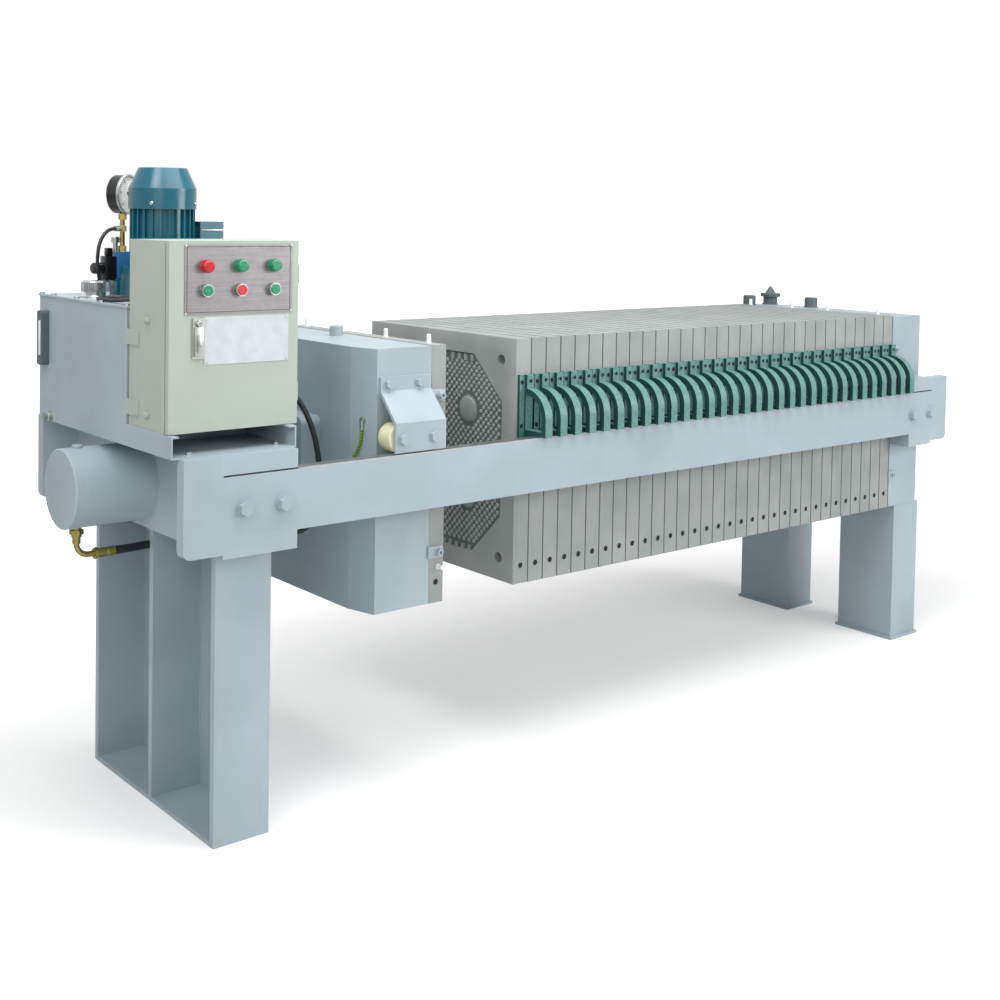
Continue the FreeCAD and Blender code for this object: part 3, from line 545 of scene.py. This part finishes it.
# ---------------------------------------------------------------- cylinder and hoses
def hydraulics():
    """Ports, fittings and hoses of the cylinder."""
    plug = Form()
    plug.lathe((-325, 0, 1084), (0, 0, 1), ((0, 15.5), (10, 15.5), (11, 14.5)), 40)
    plug.made("barrel_plug", grey_blue, slot="frame_paint")
    port = Form()
    port.bar((-325, 0, 862), (-325, 0, 851), 14)
    port.nut((-325, 0, 851), (-325, 0, 838), 36)
    port.lathe((-325, 0, 838), (0, 0, -1), ((0, 15), (8, 15), (9, 12), (27, 12)), 32)
    port.made("low_port", brass)
    low = Form()
    for k in range(9):
        a, b = (math.radians(10.0 * j) for j in (k, k + 1))
        low.bar((-289 - 36 * math.cos(a), 0, 811 - 36 * math.sin(a)),
                (-289 - 36 * math.cos(b), 0, 811 - 36 * math.sin(b)), 8.5, sides=24)
    low.bar((-289, 0, 775), (-272, 0, 775), 8.5)
    low.nut((-272, 0, 775), (-262, 0, 775), 30)
    low.lathe((-262, 0, 775), (1, 0, 0), ((0, 12), (2, 14), (20, 14), (21, 13), (30, 13), (31, 14), (54, 14)), 32)
    swept = low.made("low_hose_end", brass)
    cord("hose_low",
         ((146, 165, 1235), (165, 165, 1235), (165, 165, 1205), (165, 165, 1167), (170, 162, 1118),
          (177, 156, 1063), (182, 146, 1005), (183, 133, 949), (178, 117, 897), (166, 100, 853),
          (145, 83, 817), (118, 67, 790), (84, 55, 773), (46, 48, 766), (4, 42, 764), (-40, 36, 766),
          (-84, 27, 770), (-125, 12, 773), (-166, 0, 775), (-208, 0, 775)),
         12.5, black_rubber, "frame")
    ports = Form()
    ports.bar((119, 165, 1235), (180, 165, 1235), 15)
    ports.nut((119, 165, 1235), (137, 165, 1235), 36)
    ports.lathe((165, 165, 1235), (0, 0, -1), ((0, 15), (12, 15), (13, 16), (30, 16)), 32)
    ports.nut((119, -150, 1275), (133, -150, 1275), 26)
    ports.bar((133, -150, 1275), (147, -150, 1275), 11)
    slant = math.sqrt(0.5)
    ports.nut((246, -97.6, 875.4), (246, -114.6, 858.4), 28)
    ports.bar((246, -114.6, 858.4), (246, -140 * slant - 36 * slant, AXIS - 176 * slant), 11.5)
    ports.nut((-144, 252, 1504), (-144, 252, 1520), 20)
    ports.nut((-240, -205, 1519), (-240, -188, 1519), 22)
    ports.nut((118, 80, 1640), (118, 80, 1623), 22)
    ports.made("port_fittings", zinc)
    cord("hose_high",
         ((147, -150, 1275), (182, -150, 1275), (230, -165, 1262), (263, -183, 1240), (288, -202, 1209),
          (306, -218, 1173), (319, -231, 1133), (328, -241, 1092), (334, -248, 1049), (338, -252, 1006),
          (340, -253, 962), (341, -253, 919), (337, -249, 875), (324, -240, 835), (299, -220, 806),
          (269, -190, 801), (246, -152, 821), (246, -118, 855)), 8.5, black_rubber, "frame")
    cord("tank_cable",
         ((-240, -188, 1519), (-240, -150, 1519), (-243, -106, 1514), (-247, -60, 1511), (-251, -16, 1511),
          (-252, 25, 1511), (-239, 49, 1511), (-215, 62, 1511), (-189, 62, 1511), (-165, 49, 1511),
          (-152, 25, 1511), (-152, -8, 1511), (-151, -50, 1511), (-146, -92, 1511), (-130, -127, 1511),
          (-100, -151, 1511), (-58, -163, 1511), (-8, -166, 1511), (40, -157, 1511), (80, -133, 1511),
          (105, -97, 1511), (116, -53, 1511), (118, 0, 1511), (118, 37, 1526), (118, 65, 1554),
          (118, 80, 1590), (118, 80, 1623)), 6, black_rubber, "frame")


# ---------------------------------------------------------------- power pack
def power_pack():
    """Valve, gauge, breather, level gauge and details of the tank and motor."""
    valve = Form()
    valve.slab(-82, -18, 258, 302, 1556, 1638, 2.0)
    valve.made("valve_body", valve_blue)
    foot = Form()
    foot.slab(-87, -13, 253, 307, 1504, 1556, 2.0)
    foot.made("valve_foot", teal, slot="motor_paint")
    coil = Form()
    coil.slab(-122, -82, 262, 300, 1549, 1625, 4.0)
    coil.lathe((-122, 281, 1587), (-1, 0, 0), ((0, 18), (30, 18), (34, 14), (35, 14)), 32)
    coil.slab(-112, -92, 270, 292, 1625, 1650, 3.0)
    coil.made("valve_coil", black_lacquer)
    knob = Form()
    knob.lathe((-74, 292, 1638), (0, 0, 1), ((0, 8), (28, 8), (28, 13), (44, 13), (46, 11)), 32)
    knob.made("valve_knob", zinc)
    stem = Form()
    stem.bar((-56, 280, 1638), (-56, 280, 1760), 8, sides=24)
    for z in (1638, 1701, 1738):
        stem.nut((-56, 280, z), (-56, 280, z + 18), 22)
    stem.made("gauge_stem", brass)
    tee = Form()
    tee.bar((-60, 277.7, 1710), (-74, 269.7, 1710), 8, sides=24)
    tee.bar((-74, 269.7, 1710), (-92, 259.4, 1710), 8.5, sides=24)
    hose_end = tee.made("gauge_hose_end", zinc)
    cord("hose_gauge", ((-144, 252, 1520), (-144, 252, 1552), (-158, 238, 1589), (-161, 231, 1624),
                        (-158, 228, 1660), (-142, 233, 1691), (-112.7, 247.6, 1710), (-82, 265.1, 1710)),
         5.5, black_rubber, "frame")
    way = Vector((math.sin(math.radians(31)), -math.cos(math.radians(31)), 0.0))
    centre = Vector((-56, 280, 1817))
    case = Form()
    case.lathe(centre - way * 26, way, ((0, 40), (2, 55), (6, 60), (44, 60), (44, 57), (40, 57)), 96)
    case.made("gauge_case", black_lacquer)
    bezel = Form()
    bezel.lathe(centre + way * 17, way, ((0, 60.5), (0, 63), (7, 63), (9, 61), (9, 56), (3, 55)), 96)
    bezel.made("gauge_bezel", zinc)
    dial = Form()
    dial.lathe(centre + way * 20, way, ((0, 54), (0.8, 54)), 64)
    dial.made("gauge_dial", dial_white)
    marks = Form()
    aside = Vector((0, 0, 1)).cross(way).normalized()
    for k in range(26):
        angle = math.radians(225.0 - 270.0 * k / 25.0)
        out = aside * -math.cos(angle) + Vector((0, 0, 1)) * math.sin(angle)
        long_mark = k % 5 == 0
        start = centre + way * 21.0 + out * (38.0 if long_mark else 43.0)
        marks.bar(start, centre + way * 21.0 + out * 48.0, 1.1 if long_mark else 0.6, sides=6)
    pointer = aside * 0.72 - Vector((0, 0, 1)) * 0.69
    marks.bar(centre + way * 22 - pointer * 10, centre + way * 22 + pointer * 40, 1.8, 0.5, sides=8)
    marks.bar(centre + way * 20, centre + way * 23.5, 4.5, sides=20)
    marks.made("gauge_marks", black_lacquer)
    low_corner, high_corner = millimetres("breather_cap")
    cx, cy = (low_corner[0] + high_corner[0]) / 2, (low_corner[1] + high_corner[1]) / 2
    foot, top, round_out = low_corner[2], high_corner[2], (high_corner[0] - low_corner[0]) / 2
    cap = Form()
    cap.lathe((cx, cy, foot), (0, 0, 1), ((0, round_out), (5, round_out), (7, round_out - 2), (7, 30), (18, 30)), 64)
    low, high = [], []
    for ring, z in ((low, foot + 18), (high, top - 5)):
        for k in range(192):
            angle = 2.0 * math.pi * k / 192
            radius = round_out - 1.0 - (2.2 if k % 4 in (2, 3) else 0.0)
            ring.append(cap.mesh.verts.new((cx + radius * math.cos(angle), cy + radius * math.sin(angle), z)))
    for k in range(192):
        cap.mesh.faces.new((low[k], low[(k + 1) % 192], high[(k + 1) % 192], high[k]))
    cap.mesh.faces.new(low[::-1])
    cap.mesh.faces.new(high)
    cap.lathe((cx, cy, top - 5), (0, 0, 1), ((0, round_out - 3.5), (3, round_out - 4.5), (5, round_out - 8)), 64)
    cap.made("breather_dressed", rod_chrome, replaces=("breather_cap",))
    (face, near_y, foot), (_, far_y, top) = millimetres("level_gauge")
    glass = Form()
    glass.slab(face - 1.0, face + 2.0, near_y + 12, far_y - 12, foot + 30, top - 30, 1.2)
    glass.made("level_gauge_glass", white_nylon)
    trim = Form()
    for x in (-262, 115):
        for y in (-188, -20, 150, 320, 413):
            trim.nut((x, y, 1503.5), (x, y, 1510), 14)
    for x, y in ((-198, -433), (82, -419)):
        trim.nut((x, y, 1120), (x, y, 1128), 17)
    trim.lathe((-264, 325, 1132), (-1, 0, 0), ((0, 14), (16, 14), (18, 12)), 24)
    trim.nut((-282, 325, 1132), (-292, 325, 1132), 22)
    trim.made("lid_bolts", zinc)
    motor = Form()
    for k in range(4):
        angle = math.radians(45 + 90 * k)
        spot = Vector((-10 + 101 * math.cos(angle), 100 + 101 * math.sin(angle), 1790))
        out = Vector((math.cos(angle), math.sin(angle), 0))
        motor.lathe(spot, out, ((0, 6), (3, 6), (4.5, 4)), 16)
    motor.slab(93, 172, 43, 157, 1708, 1713, 1.5)
    for y in (52, 148):
        for z in (1652, 1724):
            motor.lathe((169, y, z), (1, 0, 0), ((0, 4.5), (3, 4.5), (4, 3)), 12)
    motor.made("motor_screws", zinc)
    grille = Form()
    for radius in (20, 34, 48, 62):
        grille.lathe((-10, 100, 1896.2), (0, 0, 1), ((0, radius + 2.5), (0.7, radius + 2.5), (0.7, radius - 2.5)), 64)
    grille.made("cowl_rings", teal, slot="motor_paint")


# ---------------------------------------------------------------- cabinet
def cabinet():
    """Panel screws, painted-shade border strips round the panel, latch lever and lugs."""
    # Thin near-black strips round the aluminium panel: painted shade at its edge.
    trim = Form()
    for x0, x1, z0, z1 in ((-211, 110, 1674, 1675.2), (-211, 110, 1498.8, 1500),
                           (-211, -209.8, 1498.8, 1675.2), (108.8, 110, 1498.8, 1675.2)):
        trim.slab(x0, x1, -439.4, -438.8, z0, z1)
    trim.made("panel_border_shade", hole_shade, "door")
    screws = Form()
    for x in (-213.5, 112.5):
        for z in (1496.5, 1677.5):
            screws.lathe((x, -438.8, z), (0, -1, 0), ((0, 3.2), (1.4, 3.2), (2.2, 2.0)), 16)
    for x in (-150, 99):
        for z in (1365, 1479):
            screws.lathe((x, -438.3, z), (0, -1, 0), ((0, 3.5), (1.2, 3.5), (2.0, 2.2)), 16)
    screws.slab(-190, -162, -447, -441.5, 1382, 1462, 2.5)
    screws.lathe((-176, -441, 1470), (0, -1, 0), ((0, 8), (8, 8), (9, 6.5), (9, 3), (7, 3)), 24)
    screws.slab(-183, -169, -452, -446, 1392, 1440, 2.0)
    screws.made("panel_screws", zinc, "door")
    lugs = Form()
    for z in (1212, 1468):
        lugs.slab(-270, -261, -330, -304, z, z + 12, 1.5)
    lugs.made("cabinet_lugs", panel_green, slot="cabinet_paint")


# ---------------------------------------------------------------- handles and feed head
def handle_screws():
    """Cap screws in the ear and the foot of each handle."""
    form = Form()
    # Dark discs in the screw sockets and foot holes: painted shade.
    holes = Form()
    for k in range(32):
        x = 993 + 65.3 * k + 32.5 + 12.0
        for sy in (-1, 1):
            for z in (1236.0,):
                form.lathe((x, sy * 421.6, z), (0, sy, 0), ((0, 9), (1.5, 9), (1.5, 6.5), (0.9, 6.5)), 16)
                holes.lathe((x, sy * 422.0, z), (0, sy, 0), ((0, 6.5), (0.6, 6.5)), 16)
            x_low = 993 + 65.3 * k + 18.0
            holes.lathe((x_low, sy * 409.6, 1090), (0, sy, 0), ((0, 7), (0.9, 7)), 16)
            holes.lathe((x_low, sy * 409.6, 1232), (0, sy, 0), ((0, 7), (0.9, 7)), 16)
    form.made("handle_screw_rims", handle_green, slot="handle_green")
    holes.made("handle_screw_holes", hole_shade)


def feed_head():
    """Stub pipes, wash valve, nozzles and clamps on the fixed head."""
    form = Form()
    for x, y, top in ((3120, 375, 1413), (3255, 135, 1413)):
        form.lathe((x, y, 1367), (0, 0, 1), ((0, 31), (6, 31), (8, 28), (top - 1369, 28), (top - 1367, 26),
                                              (top - 1367, 20), (20, 20)), 48)
    form.lathe((3255, 362, 1367), (0, 0, 1), ((0, 36), (6, 36), (8, 32), (36, 32), (38, 30), (38, 44), (40, 44.5),
                                              (52, 44.5), (54, 42), (54, 24), (84, 6), (86, 3)), 48)
    form.made("feed_head_pipes", dark_steel)
    clamps = Form()
    for sy in (-1, 1):
        for z in (1233.0, 706.0):
            y = sy * 399.6
            clamps.slab(3078, 3112, min(y, y + sy * 7), max(y, y + sy * 7), z - 17, z + 17, 1.5)
            socket_screw(clamps, (3098, y + sy * 7, z), (0, sy, 0), 9.0, 10.0)
    clamps.made("feed_head_clamps", grey_blue, slot="frame_paint")
    nozzles = Form()
    for y in (-317, -66, 121, 350):
        nozzles.lathe((3098, y, 1368), (0, 0, 1), ((0, 9), (5, 9), (6, 7.5), (28, 7), (30, 5.5)), 24)
    nozzles.made("feed_head_nozzles", white_nylon)


stand()
first_plate()
moving_head()
hydraulics()
power_pack()
cabinet()
handle_screws()
feed_head()


# ---------------------------------------------------------------- camera, floor and light
def camera():
    """Long view from the cylinder end's front corner."""
    yaw, pitch, roll = (math.radians(a) for a in (52.13, 2.30, -0.86))
    ahead = Vector((math.cos(yaw) * math.cos(pitch), math.sin(yaw) * math.cos(pitch), -math.sin(pitch)))
    right = Vector((math.sin(yaw), -math.cos(yaw), 0.0))
    down = ahead.cross(right)
    across = right * math.cos(roll) + down * math.sin(roll)
    drop = down * math.cos(roll) - right * math.sin(roll)
    eye = bpy.data.objects.new("camera", bpy.data.cameras.new("camera"))
    bpy.context.scene.collection.objects.link(eye)
    turn = Matrix((across, -drop, -ahead)).transposed()
    eye.matrix_world = Matrix.Translation((-1.914, -3.656, 1.777)) @ turn.to_4x4()
    eye.data.lens = 48.91
    eye.data.shift_x = 0.0743
    eye.data.shift_y = -0.2338
    eye.data.clip_end = 60.0
    bpy.context.scene.camera = eye


def lamp(name, place, target, size, power):
    """A soft rectangular lamp."""
    data = bpy.data.lights.new(name, "AREA")
    data.shape = "RECTANGLE"
    data.size, data.size_y = size
    data.energy = power
    made = bpy.data.objects.new(name, data)
    bpy.context.scene.collection.objects.link(made)
    made.matrix_world = Matrix.Translation(place) @ (
        Vector(target) - Vector(place)).to_track_quat("-Z", "Y").to_matrix().to_4x4()


def studio():
    """Pale floor, white surround and three soft lamps."""
    mesh = bpy.data.meshes.new("floor")
    shape = bmesh.new()
    bmesh.ops.create_grid(shape, x_segments=1, y_segments=1, size=40.0)
    bmesh.ops.translate(shape, verts=shape.verts, vec=(2.0, 0.0, 0.0))
    shape.to_mesh(mesh)
    floor = bpy.data.objects.new("floor", mesh)
    bpy.context.scene.collection.objects.link(floor)
    f = Finish("floor_white", 0.9)
    f.colour(shade("E6E6E6"))
    glow = f.node("Emission")
    near = f.node("Mapping")
    near.inputs["Location"].default_value = (-0.44, 0.18, 0.0)
    near.inputs["Scale"].default_value = (0.29, 0.50, 1.0)
    f.join(f.place, near.inputs["Vector"])
    reach = f.node("VectorMath", operation="LENGTH")
    f.join(near.outputs["Vector"], reach.inputs[0])
    f.join(f.spread(reach.outputs["Value"], 0.24, 1.0, 0.75, 2.1), glow.inputs["Strength"])
    ray = f.node("LightPath")
    clear = f.node("MixShader")
    both = f.node("AddShader")
    f.join(f.shader.outputs[0], both.inputs[0])
    f.join(glow.outputs[0], both.inputs[1])
    f.join(ray.outputs["Is Camera Ray"], clear.inputs[0])
    f.join(f.shader.outputs[0], clear.inputs[1])
    f.join(both.outputs[0], clear.inputs[2])
    f.join(clear.outputs[0], f.tree.nodes["Material Output"].inputs["Surface"])
    mesh.materials.append(f.material)

    world = bpy.data.worlds.new("surround")
    bpy.context.scene.world = world
    world.use_nodes = True
    tree = world.node_tree
    plain = tree.nodes["Background"]
    plain.inputs["Color"].default_value = (1.0, 1.0, 1.0, 1.0)
    plain.inputs["Strength"].default_value = 0.37
    white = tree.nodes.new("ShaderNodeBackground")
    white.inputs["Strength"].default_value = 1.0
    white.inputs["Color"].default_value = (1.0, 1.0, 1.0, 1.0)
    path = tree.nodes.new("ShaderNodeLightPath")
    any_ray = tree.nodes.new("ShaderNodeMath")
    any_ray.operation = "MAXIMUM"
    seen = tree.nodes.new("ShaderNodeMath")
    seen.operation = "MAXIMUM"
    pick = tree.nodes.new("ShaderNodeMixShader")
    tree.links.new(path.outputs["Is Camera Ray"], seen.inputs[0])
    tree.links.new(path.outputs["Is Glossy Ray"], seen.inputs[1])
    tree.links.new(seen.outputs[0], any_ray.inputs[0])
    tree.links.new(path.outputs["Is Transmission Ray"], any_ray.inputs[1])
    tree.links.new(any_ray.outputs[0], pick.inputs[0])
    tree.links.new(plain.outputs[0], pick.inputs[1])
    tree.links.new(white.outputs[0], pick.inputs[2])
    tree.links.new(pick.outputs[0], tree.nodes["World Output"].inputs["Surface"])

    lamp("overhead", (0.8, -1.0, 4.6), (1.4, 0.0, 0.8), (5.0, 3.0), 200.0)
    lamp("front_left", (-3.6, -4.2, 3.2), (1.0, 0.0, 0.9), (3.0, 2.4), 70.0)
    lamp("upper_left", (-2.6, -1.6, 4.2), (-0.2, 0.0, 1.3), (2.0, 2.0), 58.0)
    lamp("front_right", (4.5, -5.0, 2.6), (1.8, 0.0, 0.9), (3.0, 2.4), 168.0)
    bpy.context.scene.view_settings.view_transform = "Standard"


camera()
studio()
